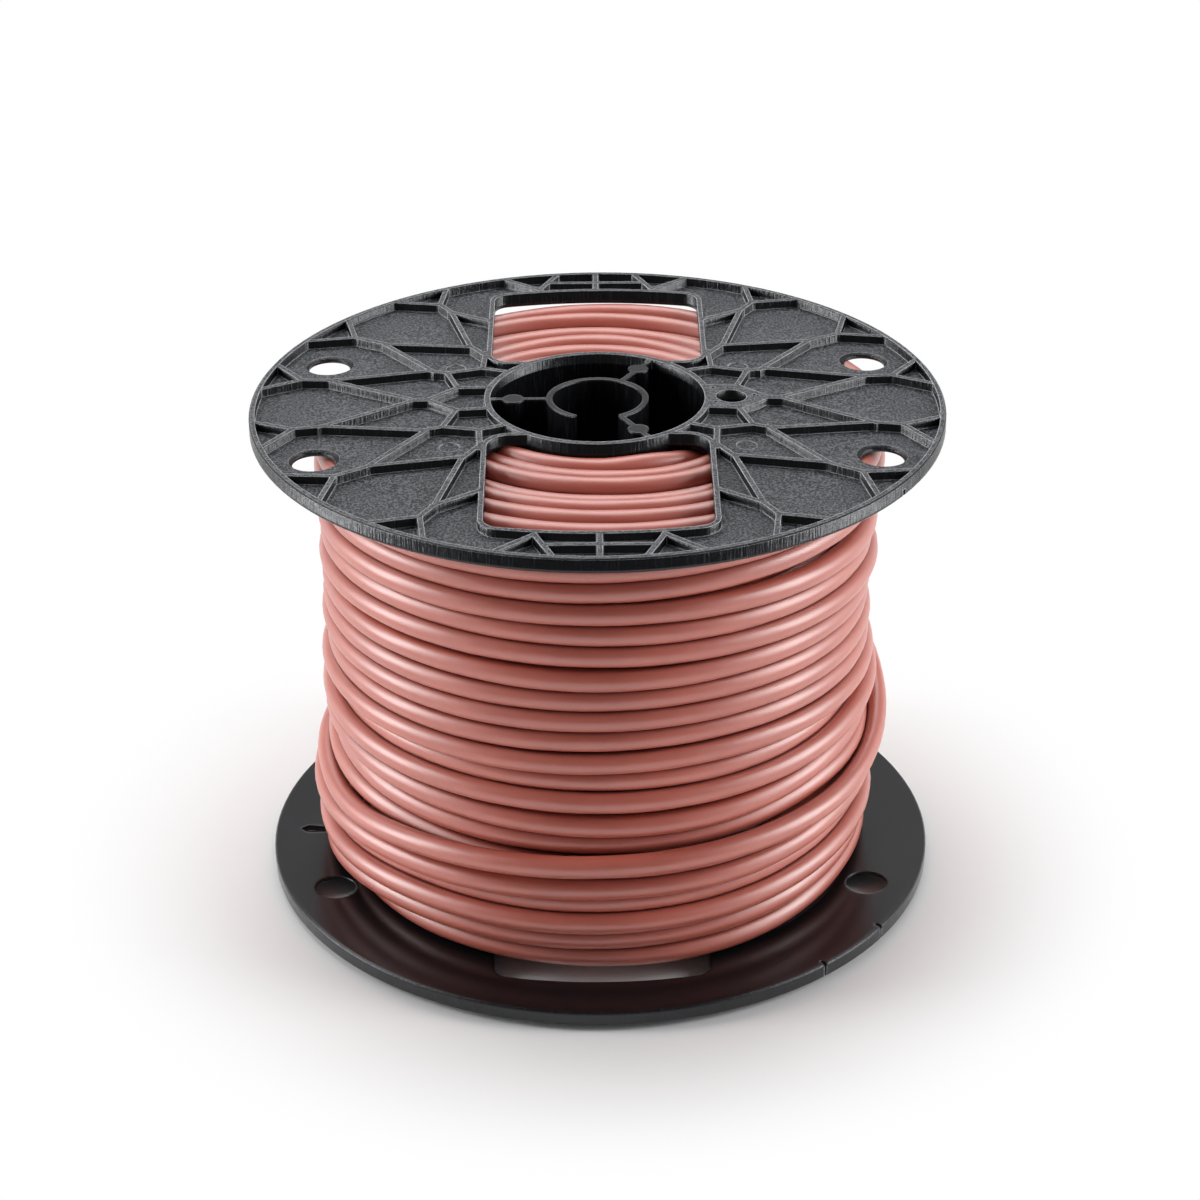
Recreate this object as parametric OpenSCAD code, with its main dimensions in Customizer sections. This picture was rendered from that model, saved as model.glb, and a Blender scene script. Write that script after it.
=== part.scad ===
// Wire spool: two ribbed plastic halves pushed together at mid barrel, wound
// with jacketed five-conductor cable. +Z is the spool's axis, and z = 0 is the
// plane of the lower hub ring, on which the spool stands.

/* [Spool] */
// Diameter of the flanges
flange_d = 165.1; // [162:0.1:175]
// Width of the spool from rim face to rim face
rim_width = 121.9; // [100:0.1:140]
// Height by which the hub ring stands out past the rim face
hub_rise = 1.3; // [0.8:0.1:2]
// Thickness of the rim of a flange
rim_t = 3.7; // [3.3:0.1:5]
// Wall of the rim band, measured along the radius
rim_wall = 1.4; // [1:0.1:3]
// Thickness of the flange's web between the ribs
web_t = 1.4; // [1:0.1:1.6]
// Thickness of the ribs
rib_w = 1.3; // [0.8:0.1:2]

/* [Barrel] */
// Outer diameter of the barrel
barrel_d = 53.8; // [52:0.1:56]
// Wall of the barrel
barrel_wall = 1.4; // [1:0.1:2.5]
// Length of the joint sleeve on each side of the parting plane
sleeve_len = 6; // [3:0.5:12]
// Wall of the joint sleeve
sleeve_wall = 1.4; // [1:0.1:2]
// Clearance of the joint sleeve in the upper barrel
sleeve_gap = 0.05; // [0:0.01:0.3]

/* [Arbor tube] */
// Bore of the arbor tube
arbor_bore = 21.4; // [16:0.1:24]
// Wall of the arbor tube
arbor_wall = 1.5; // [1:0.1:2.5]
// Angle of the open slot down the front of the arbor tube
arbor_slot_angle = 54; // [30:1:70]
// Drop of the arbor tube's end below the hub ring
arbor_drop = 0.4; // [0.1:0.1:1]
// Diameter of the round pads on the webs
pad_d = 5; // [3:0.5:6]
// Radius of the circle on which the pads lie
pad_r = 20; // [19:0.1:21]

/* [Flange openings] */
// Width of a window in the flange
window_w = 51.4; // [44:0.1:53]
// Distance from the axis to the outer edge of a window
window_reach = 69.3; // [66:0.1:70]
// Radius of the window's outer edge
window_arc = 110; // [90:1:140]
// Distance from the axis to the lowest point of a window's inner corners
window_foot = 21.3; // [20:0.1:24]
// Diameter of the four flange holes
hole_d = 10; // [6:0.1:10.5]
// Distance between the flange holes across the windows
hole_dx = 131.2; // [130:0.1:133]
// Distance between the flange holes along the windows
hole_dy = 54.6; // [53:0.1:56]
// Diameter of the drive hole
drive_d = 7.2; // [5:0.1:8]
// Distance from the axis to the drive hole
drive_x = 31.8; // [31:0.1:33]
// Width of the slits through the rims
slit_w = 0.8; // [0.5:0.1:1.2]
// Greatest width of the starting slot in the lower flange
start_slot_w = 3.4; // [1:0.1:4]
// Length of the starting slot in the lower flange
start_slot_len = 11; // [8:0.5:14]

/* [Cable] */
// Diameter of the cable
cable_d = 5.3; // [5.3:0.1:6]
// Least gap drawn between neighbouring turns
least_gap = 0.42; // [0.42:0.01:0.8]
// Outer radius of the wound pack
pack_r = 67.8; // [60:0.1:71]
// Clearance of the wound pack between the flanges and on the barrel
pack_gap = 0.3; // [0.2:0.05:0.6]
// Length of the cable's free end
end_len = 20; // [10:1:26]
// Wall of the cable's jacket
jacket_wall = 0.58; // [0.4:0.01:0.58]
// Diameter of an insulated conductor
conductor_d = 1.5; // [1.3:0.01:1.5]
// Diameter of the copper inside a conductor
copper_d = 1; // [0.5:0.01:1.2]

/* [Hidden] */
$fn = 96;
eps = 0.01;

// Heights. The upper half is drawn from the parting plane upwards.
half_rim = rim_width / 2;
half_h = half_rim + hub_rise;
flange_r = flange_d / 2;
barrel_r = barrel_d / 2;
barrel_in = barrel_r - barrel_wall;
// The web is a shallow cone, higher at the barrel than at the rim.
web_rise = 1.7;
web_low_rim = half_rim - rim_t;
web_low_hub = web_low_rim + web_rise;
edge_round = 0.4;
// Length by which a cut runs past the face that it opens
over = 1;
window_corner = 4.2;
window_foot_corner = 5.2;
window_frame = 1.2;

// Heights of the web's outer face and of the ribs' top at distance r from the axis
function cone(r) = (flange_r - rim_wall - r) / (flange_r - rim_wall - barrel_in);
function web_floor(r) = web_low_rim + web_t + web_rise * cone(r);
function rib_top(r) = half_rim + hub_rise * cone(r);

// Rib network of one quarter of a flange: both ends of each rib's middle line.
// The other quarters mirror it.
function on_circle(r, a) = r * [cos(a), sin(a)];
function rim_at(a) = on_circle(flange_r - rim_wall / 2, a);
function hub_at(a) = on_circle(barrel_r - barrel_wall / 2, a);
window_side = window_w / 2 + window_frame / 2;
window_node = [14.3, window_reach + window_frame];
rung_y = (window_reach + flange_r - rim_wall) / 2;
elbow = [39.6, 61];
bend = [36.5, 55.5];
shin = [31.2, 32.5];
fork = [60, 40];
thumb = [52, 35.2];
ear = [71.3, 14.2];
brow = [64, 13.3];
knee = [36.2, 15.6];
calf = [41, 17.2];
cross = [33.4, 6.4];
corner = [window_side + 1.4, 17.8];
diamond = [40.4, 0];
RIBS = [
    [[0, rung_y], [12.2, rung_y]],
    [window_node, rim_at(83)],
    [window_node, rim_at(73.3)],
    [rim_at(62), elbow],
    [elbow, bend],
    [bend, shin],
    [shin, [window_side + 1.2, 26.5]],
    [[window_side, 48.8], bend + [0.3, 0.3]],
    [elbow, rim_at(50.9)],
    [fork, rim_at(40.1)],
    [fork, rim_at(28.2)],
    [[39.4, 16.4], thumb - [0, 0.6]],
    [[31, 31.8], thumb],
    [thumb, fork],
    [hub_at(35.7), corner],
    [corner, knee],
    [knee, calf],
    [calf, brow],
    [brow, ear],
    [ear, rim_at(17.3)],
    [ear, rim_at(6.6)],
    [diamond + [3, 0], brow + [1, 0.3]],
    [diamond, cross],
    [hub_at(13.2), cross],
    [cross, knee],
    [corner, [window_side + 0.8, 28]]
];
// Small round marks of the ejector pins in the pockets
ejector_d = 4.8;
ejector_at = [34.4, 22.8];
ejector_deep = 0.25;
// Countersink at the mouth of a flange hole
sink = 0.9;
hole_floor = web_floor(norm([hole_dx, hole_dy]) / 2);
dimple_d = 1;
dimple_deep = 0.6;
DIMPLES = [[37.3, 1], [27.7, 5], [28, -3.2]];
// The drive boss fills the pocket beside the barrel.
DRIVE_BOSS = [hub_at(-13.2), [cross[0], -cross[1]], diamond, cross, hub_at(13.2)];

// Angles of the webs between arbor tube and barrel, the last beside the slot's edge
slot_middle = -90;
slot_edge = slot_middle + arbor_slot_angle / 2;
WEB_ANGLES = [180, 60, slot_edge + 1];
arbor_in = arbor_bore / 2;
arbor_out = arbor_in + arbor_wall;
// Angles of the slits through the lower rim, and of the nick in the upper one
LOWER_SLITS = [-35, -50];
slit_deep = rim_wall + 0.4;
nick_angle = -33.5;
nick_w = 1.2;
nick_deep = 0.7;
nick_h = 1.8;
// The starting slot lies this far inside the rim band. It is pointed at its outer
// end and widest at this share of its length.
start_slot_inset = 5;
start_slot_tip = 0.5;
start_slot_widest = 0.8;
start_slot_out = flange_r - rim_wall - start_slot_inset - start_slot_tip / 2;
// Clearance past the joint sleeve's end
sleeve_end_gap = 0.2;

// Winding. The tube has six sides whose flats lie between neighbouring turns.
ring_sides = 6;
loop_rings = 24;
step_angle = 360 / loop_rings;
tube_r = cable_d / 2 / cos(180 / ring_sides);
sagitta = pack_r * (1 - cos(step_angle / 2));
turn_r = pack_r - cable_d / 2;
// The web's cone leaves more room at the barrel than at the turns of the outer layer.
pack_low = hub_rise + rim_t + pack_gap;
pack_high = 2 * half_h - pack_low;
top_row = pack_high - cable_d / 2;
low_row = pack_low + cable_d / 2;
outer_loops = floor((top_row - low_row) / (cable_d + least_gap));
row_pitch = (top_row - low_row) / outer_loops;
turn_gap = row_pitch - cable_d;
core_gap = 0.1;
core_r = turn_r - tube_r - sagitta - core_gap;
core_top = top_row - tube_r - core_gap;
// Blocks that the ends of the turns lie against, where the cable dives into the pack
ramp_len = 2;
ramp_w = cable_d - 2 * least_gap;
// The last loop lies on the outer layer and climbs round the pack: [angle, height].
loose_r = turn_r + 2 * tube_r + turn_gap + core_gap;
loose_climb = 60;
loose_end = 450;
LOOSE_Z = [
    [0, 0], [loose_climb, 0], [150, 35], [200, 24], [270, 30], [340, 33], [385, 48],
    [loose_end, 54]
];
// Spiral on the upper end, from the barrel outwards
spiral_in = barrel_r + pack_gap + cable_d / 2;
spiral_out = core_r - cable_d / 2 - core_gap;
top_loops = floor(2 * (spiral_out - spiral_in) / (cable_d + least_gap)) / 2;
spiral_pitch = (spiral_out - spiral_in) / top_loops;
// Cable end
end_from = [-cable_d, loose_r, low_row + lookup(loose_end, LOOSE_Z)];
conductor_circle = conductor_d / 2 / sin(36) + 0.02;
insulation_out = 0.4;
copper_out = 0.8;
copper_gap = 0.01;

echo(row_pitch = row_pitch, turn_gap = turn_gap, spiral_pitch = spiral_pitch);

// ---- Helpers ----

// Points of an arc about c, from angle a to angle b
function arc(c, r, a, b, n = 8) =
    [for (i = [0:n]) c + r * [cos(a + (b - a) * i / n), sin(a + (b - a) * i / n)]];

// Drawn in all four quarters of the flange
module quarters() {
    for (sx = [0, 1], sy = [0, 1])
        mirror([sx, 0]) mirror([0, sy]) children();
}

// A straight bar of width w between two points
module bar(p, q, w) {
    d = q - p;
    translate(p) rotate(atan2(d[1], d[0])) translate([-w / 2, -w / 2])
        square([norm(d) + w, w]);
}

// Window outline, grown by g on all its sides
module window_shape(g = 0) {
    hw = window_w / 2 + g;
    foot = window_foot - g;
    ro = window_arc + g;
    c = [0, window_reach - window_arc];
    rc = window_corner + g;
    rf = window_foot_corner + g;
    // Centre of the outer corner's round: inside the side and inside the arc
    cx = hw - rc;
    cy = c[1] + sqrt(pow(ro - rc, 2) - pow(cx, 2));
    top = atan2(cy - c[1], cx);
    polygon(concat(
        arc([hw - rf, foot + rf], rf, -90, 0),
        arc([cx, cy], rc, 0, top),
        arc(c, ro, top, 180 - top, 12),
        arc([-cx, cy], rc, 180 - top, 180),
        arc([-hw + rf, foot + rf], rf, 180, 270)));
}

module windows() {
    for (s = [0, 1]) mirror([0, s]) difference() {
        window_shape();
        circle(barrel_r - eps);
    }
}

// All ribs of a flange, seen along the axis
module rib_plan() {
    quarters() for (r = RIBS) bar(r[0], r[1], rib_w);
    quarters() bar(diamond, diamond + [3, 0], 1.5 * rib_w);
    for (s = [0, 1]) mirror([0, s]) {
        bar([0, window_reach], [0, flange_r - rim_wall / 2], rib_w);
        difference() {
            window_shape(window_frame);
            circle(barrel_r - barrel_wall / 2);
        }
    }
    polygon(DRIVE_BOSS);
}

// Everything between the web's floor and the ribs' top, as one turned shape
module rib_envelope() {
    rotate_extrude($fn = 120) polygon([
        [barrel_in + eps, web_low_hub + web_t / 2],
        [flange_r - rim_wall / 2, web_low_rim + web_t / 2],
        [flange_r - rim_wall / 2, half_rim - edge_round / 2],
        [barrel_in + eps, half_h]
    ]);
}

module web_and_rim() {
    rotate_extrude($fn = 120) polygon([
        [barrel_in, web_low_hub],
        [flange_r - rim_wall, web_low_rim],
        [flange_r - edge_round, web_low_rim],
        [flange_r, web_low_rim + edge_round],
        [flange_r, half_rim - edge_round],
        [flange_r - edge_round, half_rim],
        [flange_r - rim_wall, half_rim],
        [flange_r - rim_wall, web_low_rim + web_t],
        [barrel_in, web_low_hub + web_t]
    ]);
}

module ring(r_out, r_in, z0, z1) {
    rotate_extrude() translate([r_in, z0]) square([r_out - r_in, z1 - z0]);
}

// Arbor tube, its three webs and their pads
module arbor() {
    top = half_h - arbor_drop;
    difference() {
        cylinder(r = arbor_out, h = top);
        translate([0, 0, -over]) cylinder(r = arbor_in, h = top + 2 * over);
        rotate(slot_edge - arbor_slot_angle) translate([0, 0, -over])
            rotate_extrude(angle = arbor_slot_angle) translate([arbor_in - over, 0])
                square([arbor_wall + 2 * over, top + 2 * over]);
    }
    for (a = WEB_ANGLES) rotate(a) {
        translate([arbor_in + arbor_wall / 2, -rib_w / 2, 0])
            cube([barrel_in - arbor_in - arbor_wall / 2 + barrel_wall / 2, rib_w, top]);
        translate([pad_r, 0, 0]) cylinder(d = pad_d, h = top, $fn = 32);
    }
}

module slit(angle) {
    rotate(angle) translate([flange_r - slit_deep, -slit_w / 2, web_low_rim - over])
        cube([slit_deep + over, slit_w, rim_t + 2 * over]);
}

// Small nick in the rim's edge beside the winding
module nick(angle) {
    rotate(angle) translate([flange_r - nick_deep, -nick_w / 2, web_low_rim - over])
        cube([nick_deep + over, nick_w, nick_h + over]);
}

// Pointed slot through the web, in which the cable's first end is caught
module start_slot() {
    mid = start_slot_out - start_slot_len * (1 - start_slot_widest);
    linear_extrude(half_h) {
        hull() {
            translate([-start_slot_out, 0]) circle(d = start_slot_tip, $fn = 24);
            translate([-mid, 0]) circle(d = start_slot_w, $fn = 24);
        }
        hull() {
            translate([-mid, 0]) circle(d = start_slot_w, $fn = 24);
            translate([-start_slot_out + start_slot_len, 0])
                circle(d = 2 * start_slot_tip, $fn = 24);
        }
    }
}

// One moulded half: flange, half barrel and half arbor tube
module half() {
    difference() {
        union() {
            web_and_rim();
            intersection() {
                linear_extrude(half_h + over) rib_plan();
                rib_envelope();
            }
        }
        linear_extrude(half_h + over) windows();
        for (sx = [-1, 1], sy = [-1, 1])
            translate([sx * hole_dx / 2, sy * hole_dy / 2, 0]) {
                cylinder(d = hole_d, h = half_h + over, $fn = 48);
                translate([0, 0, hole_floor - sink])
                    cylinder(d1 = hole_d, d2 = hole_d + 3 * sink, h = 1.5 * sink, $fn = 48);
            }
        translate([drive_x, 0, 0]) cylinder(d = drive_d, h = half_h + over, $fn = 48);
        for (d = DIMPLES)
            translate([d[0], d[1], rib_top(norm(d)) - dimple_deep])
                cylinder(d = dimple_d, h = dimple_deep + over, $fn = 16);
        cylinder(r = barrel_in, h = half_h + over);
        for (sx = [-1, 1], sy = [-1, 1])
            translate([sx * ejector_at[0], sy * ejector_at[1],
                web_floor(norm(ejector_at)) - ejector_deep])
                cylinder(d = ejector_d, h = over, $fn = 32);
    }
    ring(barrel_r, barrel_in, 0, half_h);
    arbor();
}

// A tube of six sides along centres c, with frame directions u and v at each
function tube_points(c, u, v) = [for (i = [0:len(c) - 1], k = [0:ring_sides - 1])
    c[i] + tube_r * (cos(360 * k / ring_sides) * u[i] + sin(360 * k / ring_sides) * v[i])];

module tube(points) {
    n = len(points) / ring_sides;
    s = ring_sides;
    side = [for (i = [0:n - 2], k = [0:s - 1]) each [
        [i * s + k, (i + 1) * s + k, i * s + (k + 1) % s],
        [i * s + (k + 1) % s, (i + 1) * s + k, (i + 1) * s + (k + 1) % s]]];
    first = [for (k = [1:s - 2]) [0, k, k + 1]];
    last = [for (k = [1:s - 2]) [(n - 1) * s, (n - 1) * s + k + 1, (n - 1) * s + k]];
    polyhedron(points = points, faces = concat(side, first, last));
}

// Centres of a wound tube at angles a, with straight ends of one tube diameter
function wound(a, r, z) =
    let (
        n = len(a),
        on = [for (i = [0:n - 1]) [r[i] * cos(a[i]), r[i] * sin(a[i]), z[i]]],
        along0 = [-sin(a[0]), cos(a[0]), 0],
        along1 = [-sin(a[n - 1]), cos(a[n - 1]), 0]
    )
    concat([on[0] - cable_d * along0], on, [on[n - 1] + cable_d * along1]);

function outward(a) = let (n = len(a)) [for (i = [-1:n])
    let (b = a[max(0, min(n - 1, i))]) [cos(b), sin(b), 0]];

// Least distance between the points of turns that lie side by side
function self_gap(points) =
    let (n = len(points) / ring_sides)
    min([for (i = [0:n - 1], j = [i + 12:n - 1])
        let (m = (j - i) % loop_rings)
        if (m < 2 || m > loop_rings - 2)
            for (k = [0:ring_sides - 1], q = [0:ring_sides - 1])
                norm(points[i * ring_sides + k] - points[j * ring_sides + q])]);

// ---- Spool ----

module upper_half() {
    color([0.2, 0.2, 0.22]) translate([0, 0, half_h]) difference() {
        half();
        // Room for the joint sleeve between the webs and the barrel
        ring(barrel_in + eps, barrel_in - sleeve_wall - sleeve_gap, -over,
            sleeve_len + sleeve_end_gap);
        nick(nick_angle);
    }
}

module lower_half() {
    color([0.2, 0.2, 0.22]) translate([0, 0, half_h]) {
        mirror([0, 0, 1]) difference() {
            half();
            for (a = LOWER_SLITS) slit(a);
            start_slot();
        }
        ring(barrel_in + eps, barrel_in - sleeve_wall, -sleeve_len, 0);
        ring(barrel_in - sleeve_gap, barrel_in - sleeve_wall, -eps, sleeve_len);
    }
}

// ---- Cable ----

// Block on the core's upper end, before a turn's first end or past its last one
module ramp(r, from_y, z0 = core_top - over) {
    translate([r - ramp_w / 2, from_y, z0])
        cube([ramp_w, ramp_len, top_row + ramp_w / 2 - z0]);
}

// The inner layers, as one plain body
module cable_core() {
    color([0.66, 0.38, 0.32]) {
        ring(core_r, barrel_r + pack_gap / 2, pack_low, core_top);
        ramp(spiral_in, -cable_d - ramp_len);
        rotate(360 * top_loops) ramp(spiral_out, cable_d);
        // The outer layer's first end meets a block that the core's edge carries.
        ramp(core_r - ramp_w / 2, -cable_d - ramp_len);
        ramp(turn_r, -cable_d - ramp_len, top_row - ramp_w / 2);
        translate([core_r - ramp_w / 2, -cable_d - ramp_len, top_row - ramp_w / 2])
            cube([turn_r - core_r + ramp_w / 2, ramp_len, ramp_w]);
    }
}

module cable_outer_turns() {
    helix = [for (i = [0:outer_loops * loop_rings]) i * step_angle];
    loose = [for (i = [1:loose_end / step_angle]) i * step_angle];
    a = concat(helix, loose);
    r = concat([for (b = helix) turn_r],
        [for (b = loose) turn_r + (loose_r - turn_r) * min(1, b / loose_climb)]);
    z = concat([for (b = helix) top_row - row_pitch * b / 360],
        [for (b = loose) low_row + lookup(b, LOOSE_Z)]);
    c = wound(a, r, z);
    u = outward(a);
    points = tube_points(c, u, [for (x = u) [0, 0, 1]]);
    echo(outer_turns_rings = len(c), outer_turns_least_gap = self_gap(points));
    color([0.75, 0.45, 0.38]) tube(points);
}

module cable_top_turns() {
    a = [for (i = [0:top_loops * loop_rings]) i * step_angle];
    r = [for (b = a) spiral_in + spiral_pitch * b / 360];
    z = [for (b = a) top_row];
    c = wound(a, r, z);
    u = outward(a);
    points = tube_points(c, [for (x = u) [0, 0, 1]], -u);
    echo(top_turns_rings = len(c), top_turns_least_gap = self_gap(points));
    color([0.75, 0.45, 0.38]) tube(points);
}

// Placed at the cable's free end, with +Z along the cable
module at_end() {
    translate(end_from) rotate([0, -90, 0]) children();
}

module pipe(d_out, d_in, len) {
    difference() {
        cylinder(d = d_out, h = len, $fn = 48);
        translate([0, 0, -over]) cylinder(d = d_in, h = len + 2 * over, $fn = 48);
    }
}

module cable_end_jacket() {
    color([0.75, 0.45, 0.38]) at_end() pipe(cable_d, cable_d - 2 * jacket_wall, end_len);
}

// The five conductors lie in a ring inside the jacket.
module conductor(i) {
    at_end() rotate(72 * i) translate([conductor_circle, 0, 0]) children();
}

module insulation(i) {
    conductor(i) pipe(conductor_d, copper_d + 2 * copper_gap, end_len + insulation_out);
}

module copper(i) {
    color([0.8, 0.45, 0.25]) conductor(i) cylinder(d = copper_d, h = end_len + copper_out,
        $fn = 32);
}

module red_insulation() { color([0.7, 0.08, 0.07]) insulation(0); }
module white_insulation() { color([0.9, 0.9, 0.88]) insulation(1); }
module green_insulation() { color([0.1, 0.45, 0.2]) insulation(2); }
module blue_insulation() { color([0.1, 0.2, 0.6]) insulation(3); }
module yellow_insulation() { color([0.9, 0.75, 0.1]) insulation(4); }
module red_copper() { copper(0); }
module white_copper() { copper(1); }
module green_copper() { copper(2); }
module blue_copper() { copper(3); }
module yellow_copper() { copper(4); }

upper_half();
lower_half();
cable_core();
cable_outer_turns();
cable_top_turns();
cable_end_jacket();
red_insulation();
white_insulation();
green_insulation();
blue_insulation();
yellow_insulation();
red_copper();
white_copper();
green_copper();
blue_copper();
yellow_copper();
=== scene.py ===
import math

import bpy
import numpy as np
from mathutils import Matrix, Vector


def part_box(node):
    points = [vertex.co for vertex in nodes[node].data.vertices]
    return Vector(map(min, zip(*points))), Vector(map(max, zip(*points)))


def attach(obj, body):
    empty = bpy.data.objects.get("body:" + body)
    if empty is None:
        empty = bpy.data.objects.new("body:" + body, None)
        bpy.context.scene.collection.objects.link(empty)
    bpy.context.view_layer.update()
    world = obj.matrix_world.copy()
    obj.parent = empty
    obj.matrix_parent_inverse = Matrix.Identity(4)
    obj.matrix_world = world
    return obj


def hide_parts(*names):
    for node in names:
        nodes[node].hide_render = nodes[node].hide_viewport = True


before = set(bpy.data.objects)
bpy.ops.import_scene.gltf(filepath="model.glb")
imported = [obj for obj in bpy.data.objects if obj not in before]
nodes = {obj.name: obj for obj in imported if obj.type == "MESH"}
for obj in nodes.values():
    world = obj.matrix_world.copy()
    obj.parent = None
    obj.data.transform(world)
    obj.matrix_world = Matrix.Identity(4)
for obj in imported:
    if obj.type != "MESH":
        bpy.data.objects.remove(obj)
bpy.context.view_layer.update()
MM = 0.001

# Sizes in mm of the two halves, whose flanges mirror each other at the joint
HALF_H = 62.25          # from the floor to the joint
RIM_IN_R = 81.15        # inside of the rims
BARREL_IN_R = 25.5      # inside of the barrel
WEB_T = 1.4             # thickness of the flanges' webs, which are shallow cones
WEB_LOW = 57.25         # from the joint to a web's inner face, at the rim
WEB_RISE = 1.7          # how much farther the web lies from the joint at the barrel
WEB_SLOPE = WEB_RISE / (RIM_IN_R - BARREL_IN_R)
DRAFT = 0.38            # slope of the ribs' flanks and of the rims' outside


def web_height(r):
    """Height of the upper web's inner face at a radius."""
    return HALF_H + WEB_LOW + WEB_SLOPE * (RIM_IN_R - r)


# ---------------------------------------------------------------- camera
ELEVATION = 0.4833      # radians above the horizon
TURN = 0.0044           # radians about the spool's axis
ROLL = 0.0065           # radians about the line of sight
CAMERA_AT = (-0.00272, -0.68864, 0.43132)    # metres
LENS = 95.086           # focal length in mm
SENSOR = 36             # width in mm


def new_object(name, data):
    obj = bpy.data.objects.new(name, data)
    bpy.context.scene.collection.objects.link(obj)
    return obj


def new_camera():
    """The camera, turned by its three angles."""
    back = Vector((-math.cos(ELEVATION) * math.sin(TURN),
                   -math.cos(ELEVATION) * math.cos(TURN), math.sin(ELEVATION)))
    side = Vector((math.cos(TURN), -math.sin(TURN), 0))
    down = (-back).cross(side)
    right = math.cos(ROLL) * side + math.sin(ROLL) * down
    up = math.sin(ROLL) * side - math.cos(ROLL) * down
    data = bpy.data.cameras.new("camera")
    data.lens = LENS
    data.sensor_width = SENSOR
    camera = new_object("camera", data)
    turned = Matrix((right, up, back)).transposed().to_4x4()
    camera.matrix_world = Matrix.Translation(CAMERA_AT) @ turned
    return camera


bpy.context.scene.camera = new_camera()
bpy.context.scene.view_settings.view_transform = "Standard"


# ---------------------------------------------------------------- materials
# Colours in linear light. Of a pair, the first is the darker shade.
BLACK = (0.0045, 0.0047, 0.0058), (0.0064, 0.0067, 0.0082)
# light specks on the grain: partly dust, partly painted glints
DUST_AND_GLINTS = (0.140, 0.144, 0.161)
DRAG_MARK = (0.018, 0.0186, 0.021)
# edges painted light: partly rubbed, partly painted highlight, on convex and concave edges alike
RUBBED_EDGE_AND_HIGHLIGHT = (0.78, 0.79, 0.82)
JACKET = (0.43, 0.088, 0.056), (0.50, 0.110, 0.070)
JACKET_SCUFF = (0.56, 0.16, 0.11)
# painted shade in the creases between turns
JACKET_PAINTED_SHADE = (0.14, 0.024, 0.016)
COPPER = (0.62, 0.24, 0.12), (0.86, 0.42, 0.26)
WIRES = {
    "red": (0.50, 0.012, 0.010),
    "white": (0.80, 0.80, 0.77),
    "green": (0.012, 0.17, 0.035),
    "blue": (0.012, 0.035, 0.32),
    "yellow": (0.80, 0.53, 0.012),
}


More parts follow.
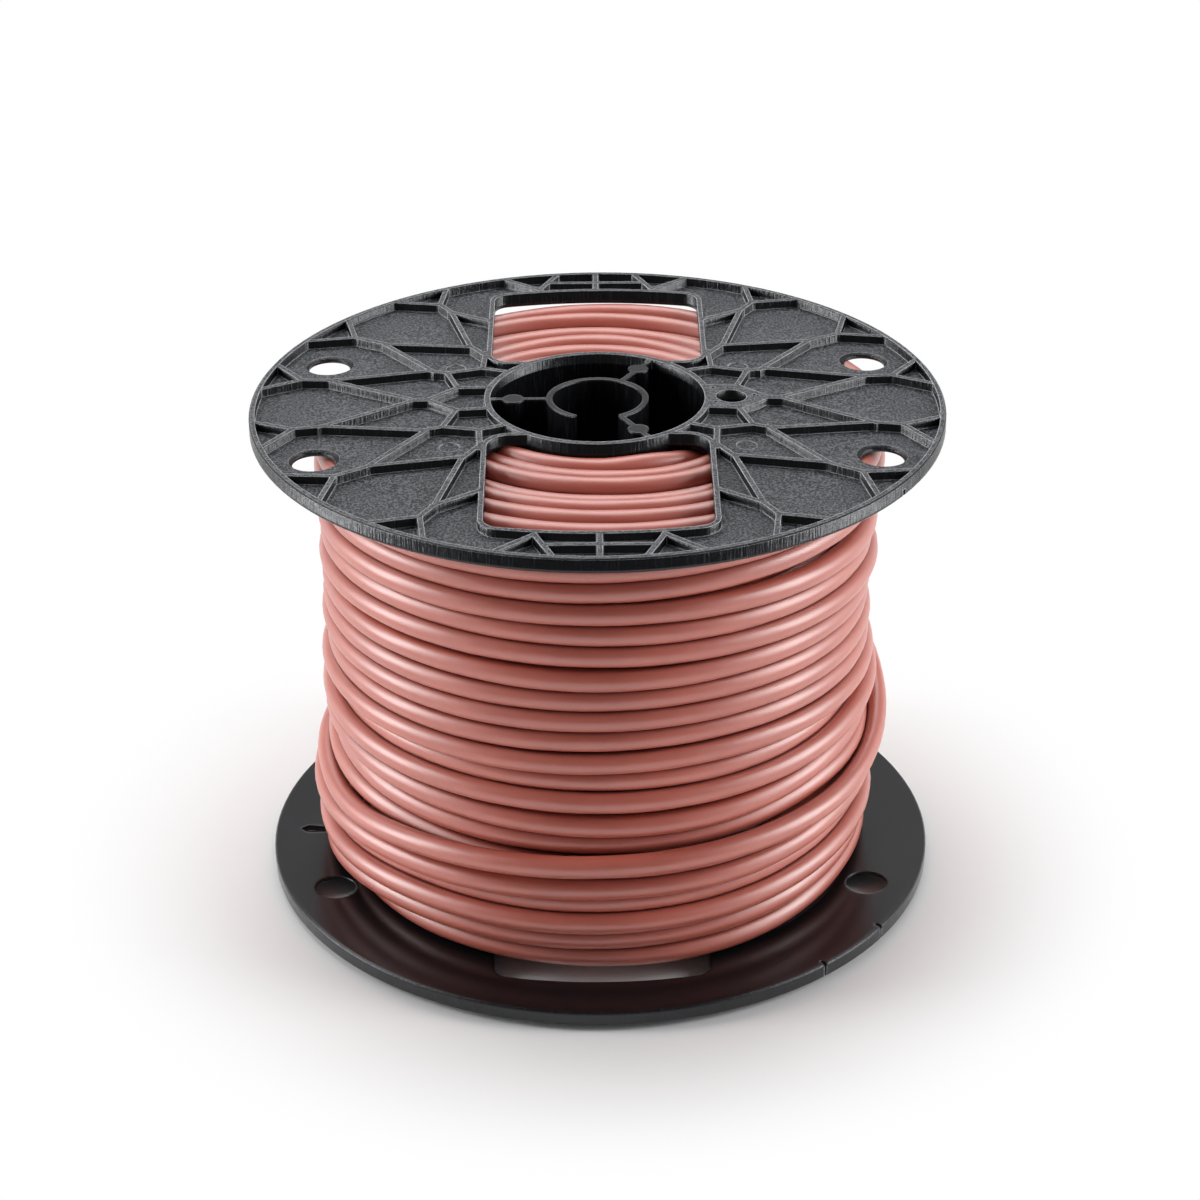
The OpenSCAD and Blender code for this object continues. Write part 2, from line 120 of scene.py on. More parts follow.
class Graph:
    """A small helper that writes the nodes of a material or of the world."""

    MIX_PLACES = {"FLOAT": (0, 2, 3), "RGBA": (0, 6, 7)}
    MIX_RESULT = {"FLOAT": 0, "RGBA": 2}

    def __init__(self, owner, shader="Principled BSDF", output="Material Output"):
        owner.use_nodes = True
        self.owner = owner
        self.tree = owner.node_tree
        self.shader = self.tree.nodes[shader]
        self.output = self.tree.nodes[output]
        self.coordinates = self.new("ShaderNodeTexCoord").outputs
        self.place = self.coordinates["Object"]

    def new(self, kind, **settings):
        node = self.tree.nodes.new(kind)
        for key, value in settings.items():
            setattr(node, key, value)
        return node

    def fill(self, socket, value):
        """Gives a socket a number, a colour or the output of another node."""
        if isinstance(value, (int, float)):
            socket.default_value = value
        elif isinstance(value, tuple):
            socket.default_value = (*value, 1)
        else:
            self.tree.links.new(value, socket)

    def set(self, node, **sockets):
        """Fills sockets by name, with an underscore for each space in it."""
        for key, value in sockets.items():
            self.fill(node.inputs[key.replace("_", " ")], value)
        return node

    def noise(self, scale, detail, rough, vector=None):
        node = self.new("ShaderNodeTexNoise")
        self.set(node, Vector=vector or self.place, Scale=scale, Detail=detail, Roughness=rough)
        return node.outputs["Fac"]

    def streaks(self, scale, detail, rough):
        """Noise with a scale of its own along each axis."""
        node = self.set(self.new("ShaderNodeMapping"), Vector=self.place)
        node.inputs["Scale"].default_value = scale
        return self.noise(1.0, detail, rough, node.outputs["Vector"])

    def ramp(self, fac, first, last, shades):
        """Blends two shades, from one value of fac to another."""
        node = self.set(self.new("ShaderNodeValToRGB"), Fac=fac)
        for element, at, shade in zip(node.color_ramp.elements, (first, last), shades):
            element.position = at
            element.color = (*shade, 1)
        return node.outputs["Color"]

    def span(self, fac, low, high, a=0.0, b=1.0, kind="LINEAR"):
        """Low where fac is a, high where it is b, with a straight blend in between."""
        node = self.new("ShaderNodeMapRange", interpolation_type=kind)
        self.set(node, Value=fac, From_Min=a, From_Max=b, To_Min=low, To_Max=high)
        return node.outputs["Result"]

    def soft_span(self, fac, low, high, a, b):
        """The same, with a blend that starts and ends softly."""
        return self.span(fac, low, high, a, b, "SMOOTHSTEP")

    def math(self, operation, a, b=None):
        node = self.new("ShaderNodeMath", operation=operation)
        self.fill(node.inputs[0], a)
        if b is not None:
            self.fill(node.inputs[1], b)
        return node.outputs[0]

    def times(self, a, b):
        return self.math("MULTIPLY", a, b)

    def vector_math(self, operation, *sources):
        node = self.new("ShaderNodeVectorMath", operation=operation)
        for socket, source in zip(node.inputs, sources):
            self.fill(socket, source)
        return node.outputs["Value" if operation in ("LENGTH", "DOT_PRODUCT") else "Vector"]

    def split(self, vector):
        return self.set(self.new("ShaderNodeSeparateXYZ"), Vector=vector).outputs

    def join(self, **parts):
        return self.set(self.new("ShaderNodeCombineXYZ"), **parts).outputs["Vector"]

    def mix(self, fac, a, b, kind="RGBA"):
        node = self.new("ShaderNodeMix", data_type=kind)
        for place, value in zip(self.MIX_PLACES[kind], (fac, a, b)):
            self.fill(node.inputs[place], value)
        return node.outputs[self.MIX_RESULT[kind]]

    def mix_shader(self, fac, a, b):
        node = self.new("ShaderNodeMixShader")
        for socket, value in zip(node.inputs, (fac, a, b)):
            self.fill(socket, value)
        return node.outputs[0]

    def bevel(self, radius):
        node = self.new("ShaderNodeBevel", samples=8)
        return self.set(node, Radius=radius).outputs["Normal"]

    def bump(self, height, distance, strength=1.0, **normal):
        node = self.new("ShaderNodeBump")
        self.set(node, Height=height, Distance=distance, Strength=strength, **normal)
        return node.outputs["Normal"]


def new_material(name):
    return Graph(bpy.data.materials.new(name))


def ribbed_side(g, axes):
    """One on the outer, ribbed side of either web, beside the hub, and zero elsewhere."""
    web_middle = WEB_LOW + WEB_T / 2 + RIM_IN_R * WEB_SLOPE
    margin = 0.2            # half the width of the change there, in mm
    hub_end, ribs_start = 23.8, 25.0
    radius = g.vector_math("LENGTH", g.join(X=axes["X"], Y=axes["Y"]))
    height = g.math("ABSOLUTE", g.math("SUBTRACT", axes["Z"], HALF_H * MM))
    level = g.math("ADD", height, g.times(radius, WEB_SLOPE))
    over_web = g.span(level, 0, 1, a=(web_middle - margin) * MM, b=(web_middle + margin) * MM)
    beside_hub = g.span(radius, 0, 1, a=hub_end * MM, b=ribs_start * MM)
    return g.times(over_web, beside_hub)


def spool_plastic():
    """Black moulded polystyrene with faint flow marks. On the ribbed side, level faces are
    grained like leather, with light specks that are partly dust and partly painted glints,
    upright ones have a draft, and sharp edges, convex and concave, are painted light:
    partly rubbed, partly painted highlight. All upright faces have drag marks."""
    g = new_material("spool_black")
    axes = g.split(g.place)
    ribbed = ribbed_side(g, axes)
    facing = g.math("ABSOLUTE", g.split(g.coordinates["Normal"])["Z"])
    level = g.span(facing, 0, 1, a=0.8, b=0.95)
    grained = g.times(ribbed, level)
    upright = g.math("SUBTRACT", 1.0, level)

    cloud = g.noise(scale=38, detail=4, rough=0.55)
    grain = g.noise(scale=1700, detail=2, rough=0.75)
    drag = g.streaks(scale=(1900, 1900, 130), detail=3, rough=0.6)
    flow = g.streaks(scale=(60, 260, 60), detail=3, rough=0.6)
    # Random patches that break up the light edges.
    edge_breakup = g.noise(scale=420, detail=2, rough=0.6)
    face = g.new("ShaderNodeNewGeometry").outputs["Normal"]
    turned = g.vector_math("DOT_PRODUCT", g.bevel(0.5 * MM), face)
    edge = g.times(g.span(turned, 1, 0, a=0.78, b=0.965), ribbed)
    worn_and_highlit = g.times(edge, g.span(edge_breakup, 0.6, 1, a=0.35, b=0.6))

    base = g.ramp(cloud, 0.3, 0.75, BLACK)
    # Light specks on level grained faces: partly dust, partly painted glints.
    base = g.mix(g.times(g.span(grain, 0, 1, a=0.47, b=0.56), grained), base, DUST_AND_GLINTS)
    base = g.mix(g.times(g.span(drag, 0, 1, a=0.50, b=0.70), upright), base, DRAG_MARK)
    # Edges painted light: partly rubbed wear, partly painted highlight.
    base = g.mix(worn_and_highlit, base, RUBBED_EDGE_AND_HIGHLIGHT)

    outward = g.math("SIGN", g.math("SUBTRACT", axes["Z"], HALF_H * MM))
    draft = g.join(Z=g.times(g.times(outward, DRAFT), g.times(ribbed, upright)))
    leaning = g.vector_math("NORMALIZE", g.vector_math("ADD", g.bevel(0.9 * MM), draft))
    skin = g.bump(g.times(grain, grained), 0.6 * MM, Normal=leaning)
    skin = g.bump(g.times(drag, upright), 0.2 * MM, strength=0.8, Normal=skin)
    skin = g.bump(flow, 0.3 * MM, strength=0.08, Normal=skin)

    rough = g.math("ADD", g.span(cloud, 0.18, 0.24), g.times(grained, 0.22))
    rough = g.math("SUBTRACT", rough, g.times(edge, 0.05))
    g.set(g.shader, Base_Color=base, Roughness=rough, Normal=skin, Specular_IOR_Level=0.5,
          Specular_Tint=(0.95, 0.965, 1.0))
    return g.owner


def jacket_plastic():
    """Satin red-brown PVC with a soft mottle and light scuffs, and painted shade between the turns,
    from ambient occlusion.
    """
    g = new_material("jacket")
    mottle = g.noise(scale=55, detail=4, rough=0.6)
    fine = g.noise(scale=900, detail=3, rough=0.65)
    # Ambient occlusion, which paints shade into the creases between the turns.
    painted_crease_shade = g.set(g.new("ShaderNodeAmbientOcclusion", samples=6), Distance=1.6 * MM)
    base = g.ramp(mottle, 0.30, 0.72, JACKET)
    base = g.mix(g.span(fine, 0, 0.4, a=0.62, b=0.85), base, JACKET_SCUFF)
    # Painted shade between the turns.
    base = g.mix(g.span(painted_crease_shade.outputs["AO"], 0, 1, a=0.15, b=0.75), JACKET_PAINTED_SHADE, base)
    g.set(g.shader, Base_Color=base, Roughness=g.span(fine, 0.38, 0.46),
          Normal=g.bump(fine, 0.04 * MM, strength=0.2), Specular_IOR_Level=1.0,
          Coat_Weight=1.0, Coat_Roughness=0.44)
    return g.owner


def wire_plastic(name, color):
    """Glossy insulation of one conductor, in its own colour."""
    g = new_material(name)
    fine = g.noise(scale=1500, detail=2, rough=0.5)
    dark = tuple(0.8 * c for c in color)
    g.set(g.shader, Base_Color=g.ramp(fine, 0.35, 0.7, (dark, color)),
          Roughness=g.span(fine, 0.25, 0.36), Normal=g.bump(fine, 0.03 * MM, strength=0.2))
    return g.owner


def bare_copper():
    """Soft copper with the drawn lines of the wire and a slight tarnish."""
    g = new_material("copper")
    drawn = g.streaks(scale=(300, 5000, 5000), detail=2, rough=0.5)
    g.set(g.shader, Base_Color=g.ramp(drawn, 0.3, 0.75, COPPER), Metallic=1.0,
          Roughness=g.span(drawn, 0.22, 0.38), Normal=g.bump(drawn, 0.02 * MM, strength=0.3))
    return g.owner


def finish_node(name, material):
    """Gives a CAD node its material."""
    mesh = nodes[name].data
    mesh.materials.clear()
    mesh.materials.append(material)


black = spool_plastic()
jacket = jacket_plastic()
copper = bare_copper()
finish_node("upper_half", black)
finish_node("lower_half", black)
finish_node("cable_end_jacket", jacket)
for color_name, color in WIRES.items():
    finish_node(color_name + "_insulation", wire_plastic(color_name + "_wire", color))
    finish_node(color_name + "_copper", copper)


# ---------------------------------------------------------------- winding, in mm and degrees
D = 5.3                 # the cable's diameter
LAY = 95.0              # length of one twist of its five conductors
SIDES = 20              # points round its section
MEAN_SIZE = 1.004       # mean radius of its section, as a share of D / 2
RIPPLE = 0.011          # how far the conductors show in the section, likewise
FLATNESS = 0.012        # how far it is pressed flat at most, likewise
STEPS = 96              # sections in one turn round the pack
LAYER_R = 64.9          # middle of the outer layer's turns
FLOOR_Z = 7.7           # lowest and highest place of a turn's middle between the flanges
CEILING_Z = 117.4
WINDOW_RISE = 0.8       # how far above that the first turn may go in the back window
PRESS = 0.04            # how far turns may press into one another
HOLD = 0.06             # share of the way back to its place that a turn goes after a push
rng = np.random.default_rng(7)

# Heights of each turn of the outer layer at the five azimuths of FRONT, from the top
# down, and how far the turn has sunk into the layer below it
FRONT = (200, 235, 270, 305, 340)
ROWS = (
    ((116.8, 116.8, 117.0, 117.2, 116.8), 0.0),
    ((109.8, 109.6, 111.0, 111.5, 110.8), 0.0),
    ((104.2, 105.2, 105.9, 106.8, 106.6), 0.5),
    ((99.2, 100.2, 100.3, 99.3, 96.8), 0.0),
    ((94.6, 95.8, 95.1, 93.6, 91.8), 0.5),
    ((88.2, 90.9, 89.9, 89.1, 87.2), 0.0),
    ((82.0, 83.7, 83.4, 83.8, 82.8), 0.0),
    ((77.0, 77.8, 78.2, 78.1, 77.6), 0.4),
    ((72.5, 72.9, 72.8, 73.5, 72.0), 0.0),
    ((65.0, 66.8, 67.5, 67.7, 66.2), 0.6),
    ((60.5, 61.8, 61.8, 62.3, 60.6), 0.0),
    ((55.6, 56.4, 56.7, 56.1, 56.6), 1.5),
    ((52.0, 52.3, 51.6, 51.8, 53.2), 0.0),
    ((46.8, 46.7, 45.2, 45.1, 48.7), 0.0),
    ((41.0, 40.2, 40.0, 40.2, 43.9), 1.3),
    ((37.0, 34.4, 33.4, 33.4, 36.4), 0.4),
    ((24.8, 25.7, 28.4, 28.0, 30.0), 0.0),
    ((19.6, 22.8, 23.3, 24.6, 26.0), 1.6),
    ((16.5, 17.6, 18.5, 19.3, 21.6), 0.0),
    ((8.8, 12.1, 13.3, 13.8, 15.0), 1.4),
    ((8.2, 9.0, 7.7, 7.7, 9.8), 1.9),
)
TURNS = len(ROWS)

# The first turn bulges into the window at the back: azimuth with height, and azimuth
# with how far it stands out.
BULGE_HEIGHT = ((0, 116.9), (64, 117.0), (74, 117.6), (90, 118.0), (106, 117.6), (116, 117.0))
BULGE_OUT = ((0, 0), (45, 0.9), (69, 1.4), (90, 1.3), (111, 1.4), (135, 0.9), (180, 0))

# How far the pack stands out at its right side, azimuth 0, and at its left side,
# azimuth 180: height with distance
RIGHT_SIDE = (
    (5, -0.2), (20, 0.3), (30, 0.4), (36, 0.0), (40, 1.2), (44, 2.8), (47, 1.2), (50, -0.3),
    (60, -0.5), (66, -0.8), (75, -1.9), (84, -0.9), (95, -0.3), (105, 0.9), (117, 1.4),
)
LEFT_SIDE = ((5, 0.8), (12, 1.6), (17, 3.0), (21, 3.8), (26, 4.2), (30, 3.2), (34, 0.0))

# The last turn and a quarter lies on the outer layer: angle, radius and height. In its
# first sections it still climbs out of the layer.
LOOSE = (
    (0, 64.4, 9.8), (40, 67.2, 9.4), (62, 67.9, 11.0), (85, 68.2, 18.2), (105, 68.1, 25.6),
    (125, 68.0, 33.0), (140, 67.9, 37.2), (150, 67.8, 37.6), (159, 67.8, 34.6),
    (168, 67.8, 32.5), (178, 67.8, 32.7), (188, 67.8, 32.0), (200, 67.9, 30.7),
    (210, 67.9, 30.8), (222, 68.1, 32.6), (235, 68.4, 34.1), (270, 69.0, 36.4),
    (305, 69.0, 37.2), (330, 68.8, 38.1), (342, 68.7, 39.8), (352, 68.7, 42.0),
    (361, 68.7, 44.2), (371, 68.7, 47.6), (385, 69.0, 52.0), (405, 69.8, 57.4),
)
CLIMB_SECTIONS = 10
END_GAP = 0.3           # from the loose turn's end to the CAD's free end

# Turns on the pack's upper end: radius and height of the middle, in front and at the
# back, where the flange's windows show them
TOP_RINGS = (
    ((34.4, 118.5), (34.6, 117.8)),
    ((39.7, 119.3), (39.2, 118.3)),
    ((44.9, 117.3), (44.3, 118.9)),
    ((49.8, 118.5), (49.8, 118.5)),
    ((54.9, 118.4), (54.6, 116.3)),
    ((60.0, 117.6), (59.3, 118.5)),
)
TOP_START = (31.5, 112.0)   # radius and height where this spiral starts and ends
TOP_END = (62.0, 112.0)
TOP_ASIDE_Z = 117.2     # height halfway between the windows
TOP_EDGE_Z = 118.2      # greatest height beside the middle of the back window
# Another turn, beside the barrel: angle, radius and height
TOP_INNERMOST = ((150, 29.8, 116), (200, 29.7, 118.4), (270, 29.7, 119.3), (300, 29.9, 119.0),
                 (318, 31.0, 116.5), (332, 33.0, 110))
INNERMOST_SECTIONS = 50

# Turns on the pack's lower end, which the lower flange's windows show
LOWER_RINGS = 7
LOWER_IN_R = 29.9
LOWER_OUT_R = 59.6
LOWER_GAP = 0.25        # least gap to the web, and size of the wander above it

# The layers inside the pack
CORE_R = 57.4           # middle of the turns on the side
CORE_IN_R = 29.0        # inside of the turns on the ends
CORE_BORE_R = 27.4      # just outside the barrel
CORE_LOW = 11.0         # where the rows on the side begin and end
CORE_HIGH = 113.6
CORE_LOW_END = CORE_LOW + 1.4       # middle of the turns on the lower and upper end
CORE_HIGH_END = CORE_HIGH - 2.2
CORE_BORE_INSET = 2.0   # how much shorter the inside is than the rows, at each end
CORE_ROWS = 19
CORE_RINGS = 6


def angles(sections):
    return np.arange(sections) * 360 / STEPS


def ease(x, a, b):
    """Goes smoothly from 0 at a to 1 at b."""
    t = np.clip((np.asarray(x, float) - a) / (b - a), 0, 1)
    return t * t * (3 - 2 * t)


def curve_through(x, knots_x, knots_y):
    """Smooth curve through the knots, with the slope at each from its neighbours."""
    kx, ky = np.array(knots_x, float), np.array(knots_y, float)
    slope = np.gradient(ky, kx)
    i = np.clip(np.searchsorted(kx, x) - 1, 0, len(kx) - 2)
    h = kx[i + 1] - kx[i]
    t = np.clip((x - kx[i]) / h, 0, 1)
    return ((2 * t ** 3 - 3 * t ** 2 + 1) * ky[i] + (t ** 3 - 2 * t ** 2 + t) * h * slope[i]
            + (3 * t ** 2 - 2 * t ** 3) * ky[i + 1] + (t ** 3 - t ** 2) * h * slope[i + 1])


def course(angle, knots):
    """Two values at each angle, from knots of an angle and two values."""
    at, first, second = zip(*knots)
    return curve_through(angle, at, first), curve_through(angle, at, second)


def wander(angle, every):
    """Slow random wander of about 1 either way, with a knot every so many degrees."""
    knots = np.arange(0, angle[-1] + 1.5 * every, every)
    return curve_through(angle, knots, rng.standard_normal(len(knots)))


def smooth(flat):
    """Moves each value halfway to the mean of its neighbours."""
    flat[1:-1] += 0.25 * (flat[:-2] - 2 * flat[1:-1] + flat[2:])


def polar(angle, r, z):
    a = np.radians(angle)
    return np.stack([r * np.cos(a), r * np.sin(a), z], 1)


def side_shape(angle, z):
    """How far the pack stands out or in at its left and right side."""
    a = angle % 360
    at_right = ease(a, 315, 350) + ease(a, 50, 10)
    at_left = ease(a, 228, 195) * ease(a, 130, 165)
    return at_right * np.interp(z, *zip(*RIGHT_SIDE)) + at_left * np.interp(z, *zip(*LEFT_SIDE))


def push_apart(r, z, rounds):
    """Moves neighbouring turns apart in their sections, where they are too close."""
    r0, z0 = r.copy(), z.copy()
    ceiling = np.full_like(z, CEILING_Z)
    ceiling[0] += WINDOW_RISE * ease(abs(angles(STEPS) - 90), 24, 17)
    for _ in range(rounds):
        for k in range(len(r) - 1):
            dr, dz = r[k + 1] - r[k], z[k + 1] - z[k]
            gap = np.hypot(dr, dz)
            lack = np.clip(D - PRESS - gap, 0, None) / 2 / np.maximum(gap, 0.5)
            r[k] -= lack * dr
            z[k] -= lack * dz
            r[k + 1] += lack * dr
            z[k + 1] += lack * dz
        r += HOLD * (r0 - r)
        z += HOLD * (z0 - z)
        smooth(r.reshape(-1))
        smooth(z.reshape(-1))
        np.clip(z, FLOOR_Z, ceiling, out=z)
    return r, z


def outer_layer():
    """Radii and heights of the outer layer, one row of the arrays for each turn. It ends
    where the loose turn starts."""
    angle = angles(TURNS * STEPS)
    knots = [(a, 0.0, height) for a, height in BULGE_HEIGHT]
    for turn, (heights, sunk) in enumerate(ROWS):
        knots += [(360 * turn + a, sunk, height) for a, height in zip(FRONT, heights)]
    _, end_r, end_z = LOOSE[0]
    knots.append((360 * TURNS, LAYER_R - end_r, end_z))
    sink, z = course(angle, knots)
    r = LAYER_R - sink + side_shape(angle, z) + np.interp(angle, *zip(*BULGE_OUT))
    z = z + 0.22 * wander(angle, every=40.0)
    r = r + 0.16 * wander(angle, every=40.0)
    return push_apart(r.reshape(TURNS, STEPS), z.reshape(TURNS, STEPS), rounds=60)


def loose_turn(end_r, end_z):
    """Radii and heights of the last turn and a quarter, up to the cable's free end."""
    angle = angles(STEPS + STEPS // 4 + 1)
    r, z = course(angle, LOOSE + ((430, end_r - 0.6, end_z), (450, end_r, end_z)))
    for _ in range(4):
        smooth(r)
        smooth(z)
    return r, z


def sink_under(r, z, over_r, over_z):
    """Presses the outer layer in where the loose turn lies on it."""
    limit = r.copy()
    for i in range(CLIMB_SECTIONS, len(over_r)):
        col = i % STEPS
        dz = abs(z[:, col] - over_z[i])
        near = dz < D
        under = over_r[i] - np.sqrt(D ** 2 - dz[near] ** 2)
        limit[near, col] = np.minimum(limit[near, col], under)
    flat, bound = r.reshape(-1), limit.reshape(-1)
    for _ in range(10):
        flat[:] = np.minimum(flat, bound)
        smooth(flat)
    return r


def upper_spiral():
    """Knots of the spiral on the pack's upper end: angle, radius and height."""
    knots = [(0, *TOP_START)]
    for ring, ((front_r, front_z), (back_r, back_z)) in enumerate(TOP_RINGS):
        edge_z = min(back_z, TOP_EDGE_Z)
        knots += [(360 * ring + a, r, z) for a, r, z in (
            (60, back_r - 0.9, edge_z),
            (90, back_r, back_z),
            (120, back_r + 0.7, edge_z),
            (180, (back_r + front_r) / 2, TOP_ASIDE_Z),
            (238, front_r - 1.2, front_z - 0.5),
            (270, front_r, front_z),
            (302, front_r + 1.3, front_z - 0.4))]
    return knots + [(360 * len(TOP_RINGS), *TOP_END)]


def upper_turns():
    """Centre lines of the turns on the pack's upper end."""
    angle = angles(len(TOP_RINGS) * STEPS + 1)
    inner = np.linspace(TOP_INNERMOST[0][0], TOP_INNERMOST[-1][0], INNERMOST_SECTIONS)
    return [polar(angle, *course(angle, upper_spiral())),
            polar(inner, *course(inner, TOP_INNERMOST))]


def lower_turns():
    """Centre line of the turns on the pack's lower end, as a list of one."""
    angle = angles(LOWER_RINGS * STEPS + 1)
    r = LOWER_IN_R + (LOWER_OUT_R - LOWER_IN_R) * angle / angle[-1] + 0.2 * wander(angle, 45.0)
    z = 2 * HALF_H - web_height(r) + D / 2 + LOWER_GAP + LOWER_GAP * abs(wander(angle, 45.0))
    return [polar(angle, r, z)]


def half_round(r, z, facing):
    """Half of a turn's section, which faces out at 0 degrees and up at 90."""
    around = [math.radians(facing + a) for a in range(-75, 90, 30)]
    return [(r + D / 2 * math.cos(a), z + D / 2 * math.sin(a)) for a in around]


def inner_profile():
    """Section of the layers inside the pack: half rounds on the side and on both ends."""
    pitch = (CORE_HIGH - CORE_LOW) / CORE_ROWS
    ring_pitch = (CORE_R - CORE_IN_R) / CORE_RINGS
    points = []
    for i in range(CORE_ROWS):
        points += half_round(CORE_R, CORE_LOW + pitch * (i + 0.5), 0)
    for i in range(CORE_RINGS):
        points += half_round(CORE_R - ring_pitch * (i + 0.5), CORE_HIGH_END, 90)
    points += [(CORE_BORE_R, CORE_HIGH - CORE_BORE_INSET), (CORE_BORE_R, CORE_LOW + CORE_BORE_INSET)]
    for i in range(CORE_RINGS):
        points += half_round(CORE_IN_R + ring_pitch * (i + 0.5), CORE_LOW_END, -90)
    return points


def rings_along(path):
    """Rings of points round a centre line, one row of the array for each of its points.
    The twisted conductors show faintly, and the section is a little flat in places."""
    along = np.gradient(path, axis=0)
    along /= np.linalg.norm(along, axis=1)[:, None]
    out = path * (1, 1, 0)
    out -= (out * along).sum(1)[:, None] * along
    out /= np.linalg.norm(out, axis=1)[:, None]
    top = np.cross(along, out)
    run = np.concatenate([[0], np.cumsum(np.linalg.norm(np.diff(path, axis=0), axis=1))])
    every = 80.0
    knots = np.arange(0, run[-1] + 3 * every, every)
    lean = curve_through(run, knots, rng.uniform(-0.9, 0.9, len(knots)))[:, None]
    flat = curve_through(run, knots, rng.uniform(0.0, 1.0, len(knots)))[:, None]
    twist = (run / LAY * 2 * math.pi)[:, None]
    ring = 2 * math.pi * np.arange(SIDES) / SIDES
    size = D / 2 * (MEAN_SIZE + RIPPLE * np.cos(5 * (ring - twist))
                    + FLATNESS * flat * np.cos(2 * (ring - lean - math.pi / 2)))
    spokes = np.cos(ring)[:, None] * out[:, None] + np.sin(ring)[:, None] * top[:, None]
    return path[:, None] + size[..., None] * spokes


def new_winding(name, points, faces, smooth_faces):
    """A piece of the winding, of points in mm, that rides on the spool."""
    mesh = bpy.data.meshes.new(name)
    mesh.from_pydata([tuple(MM * c for c in point) for point in points], [], faces)
    mesh.polygons.foreach_set("use_smooth", smooth_faces)
    mesh.update()
    obj = new_object(name, mesh)
    obj.data.materials.append(jacket)
    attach(obj, "root")
    return obj


def tube(name, paths):
    """Cables along the given centre lines, closed at both ends."""
    points, faces = [], []
    for path in paths:
        start = len(points)
        points += rings_along(path).reshape(-1, 3).tolist()
        for a in range(start, len(points) - SIDES, SIDES):
            b = a + SIDES
            for k in range(SIDES):
                q = (k + 1) % SIDES
                faces.append((a + k, a + q, b + q, b + k))
        faces.append(tuple(reversed(range(start, start + SIDES))))
        faces.append(tuple(range(len(points) - SIDES, len(points))))
    return new_winding(name, points, faces, [len(face) == 4 for face in faces])


def lathe(name, profile):
    """A closed profile of radius and height, turned about the spool's axis."""
    n = len(profile)
    points, faces = [], []
    for i in range(STEPS):
        turn = 2 * math.pi * i / STEPS
        points += [(r * math.cos(turn), r * math.sin(turn), z) for r, z in profile]
        a, b = i * n, (i + 1) % STEPS * n
        for k in range(n):
            q = (k + 1) % n
            faces.append((a + k, b + k, b + q, a + q))
    return new_winding(name, points, faces, [True] * len(faces))


def outer_path():
    """Centre line of the outer layer and of the loose turn on it. It comes out of the
    pack, and ends just before the CAD's free end."""
    low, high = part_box("cable_end_jacket")
    end_x = high.x / MM
    end_y = (low.y + high.y) / 2 / MM
    end_z = (low.z + high.z) / 2 / MM
    layer_r, layer_z = outer_layer()
    loose_r, loose_z = loose_turn(end_y, end_z)
    layer_r = sink_under(layer_r, layer_z, loose_r, loose_z)
    layer = polar(angles(TURNS * STEPS), layer_r.reshape(-1), layer_z.reshape(-1))
    loose = polar(angles(len(loose_r)), loose_r, loose_z)[1:]
    start = [layer[0] + (-3 * i, -0.6 * D * i, -1.2 * i * i) for i in (3, 2, 1)]
    end = [(end_x / 2, end_y, end_z), (end_x + END_GAP, end_y, end_z)]
    return np.concatenate([start, layer, loose, end])


outer = tube("winding_outer_layer", [outer_path()])
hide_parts("cable_outer_turns")
upper_end = tube("winding_upper_end", upper_turns())
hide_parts("cable_top_turns")
tube("winding_lower_end", lower_turns())
inner = lathe("winding_inner_layers", inner_profile())
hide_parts("cable_core")


# ---------------------------------------------------------------- stage, in metres
FLOOR_HALF = 4
FLOOR_LIGHT = 0.93      # the floor's tone for light that bounces off it
FLOOR_SEEN = 0.76       # the same as the camera sees it
SHADE_R = 0.076         # out to here the floor keeps its own shade,
WHITE_R = 0.14          # and from here on it is white


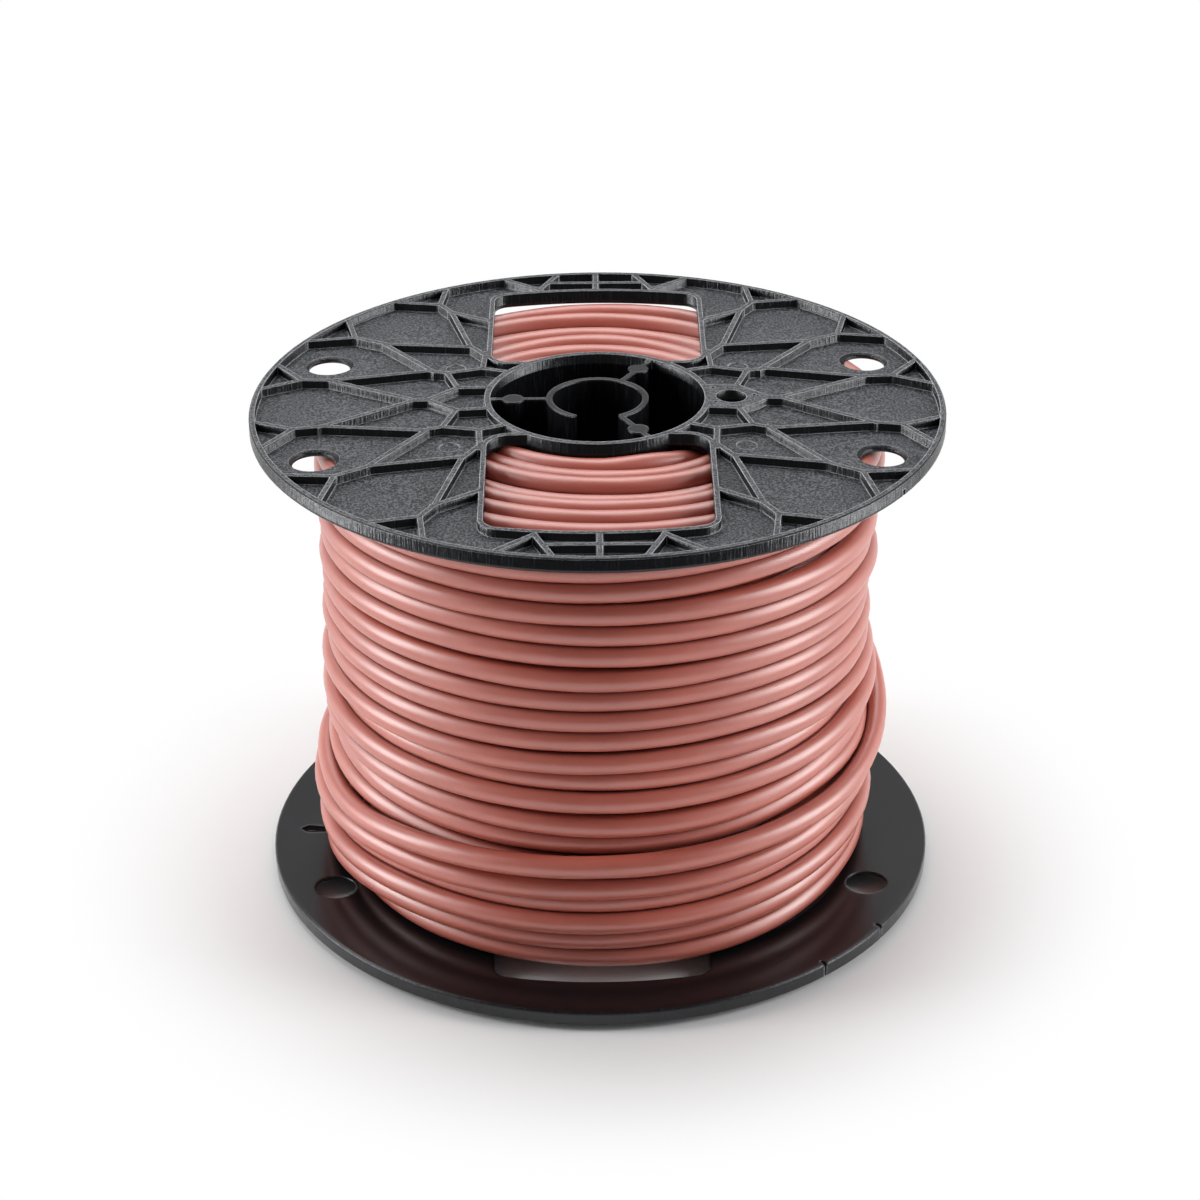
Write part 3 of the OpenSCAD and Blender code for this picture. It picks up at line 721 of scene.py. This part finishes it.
def new_floor():
    """A pale floor. Away from the spool its own shade gives way to plain white for what
    the camera sees, directly or in gloss and glass."""
    h = FLOOR_HALF
    mesh = bpy.data.meshes.new("floor")
    mesh.from_pydata([(-h, -h, 0), (h, -h, 0), (h, h, 0), (-h, h, 0)], [], [(0, 1, 2, 3)])
    g = new_material("floor")
    rays = g.new("ShaderNodeLightPath").outputs
    tone = g.soft_span(rays["Is Camera Ray"], FLOOR_LIGHT, FLOOR_SEEN, a=0, b=1)
    g.set(g.shader, Base_Color=tone, Roughness=0.9, Specular_IOR_Level=0.0)
    white = g.set(g.new("ShaderNodeEmission"), Strength=1.0)
    away = g.soft_span(g.vector_math("LENGTH", g.place), 0.0, 1.0, a=SHADE_R, b=WHITE_R)
    seen = g.math("MAXIMUM", rays["Is Camera Ray"], rays["Is Glossy Ray"])
    seen = g.math("MAXIMUM", seen, rays["Is Transmission Ray"])
    shown = g.mix_shader(g.times(seen, away), g.shader.outputs[0], white.outputs[0])
    g.set(g.output, Surface=shown)
    mesh.materials.append(g.owner)
    return new_object("floor", mesh)


def new_world():
    """A room that is dark in front and lighter behind, white at both sides and, but for
    the front, near the horizon and below it. The camera itself sees plain white."""
    g = Graph(bpy.data.worlds.new("world"), "Background", "World Output")
    ray = g.split(g.coordinates["Generated"])
    level = g.soft_span(ray["Y"], 0.10, 0.48, a=-0.30, b=0.70)
    beside = g.soft_span(g.math("ABSOLUTE", ray["X"]), 0, 1, a=0.70, b=0.97)
    level = g.mix(beside, level, 1.3, "FLOAT")
    low = g.soft_span(ray["Z"], 1, 0, a=0.06, b=0.2)
    not_in_front = g.soft_span(ray["Y"], 0, 1, a=-0.8, b=-0.3)
    level = g.mix(g.times(low, not_in_front), level, 1.0, "FLOAT")
    room = g.set(g.shader, Color=(1, 1, 1), Strength=level)
    white = g.set(g.new("ShaderNodeBackground"), Color=(1, 1, 1))
    camera_ray = g.new("ShaderNodeLightPath").outputs["Is Camera Ray"]
    shown = g.mix_shader(camera_ray, room.outputs[0], white.outputs[0])
    g.set(g.output, Surface=shown)
    return g.owner


def softbox(name, at, target, width, height, radiance):
    """A rectangular lamp of the given radiance that faces its target."""
    data = bpy.data.lights.new(name, "AREA")
    data.shape = "RECTANGLE"
    data.size = width
    data.size_y = height
    data.energy = radiance * math.pi * width * height
    lamp = new_object(name, data)
    lamp.visible_camera = False
    lamp.location = at
    lamp.rotation_euler = (Vector(target) - Vector(at)).to_track_quat("-Z", "Y").to_euler()


floor = new_floor()
bpy.context.scene.world = new_world()
softbox("softbox_left", (-1.0, 0.0, 0.44), (0, 0, 0.07), 0.32, 0.8, radiance=10.5)
softbox("softbox_right", (0.99, -0.1, 0.44), (0, 0, 0.07), 0.36, 0.8, radiance=9.0)
softbox("softbox_back", (-0.1, 0.54, 1.02), (0, 0, 0.1), 1.15, 0.8, radiance=3.1)
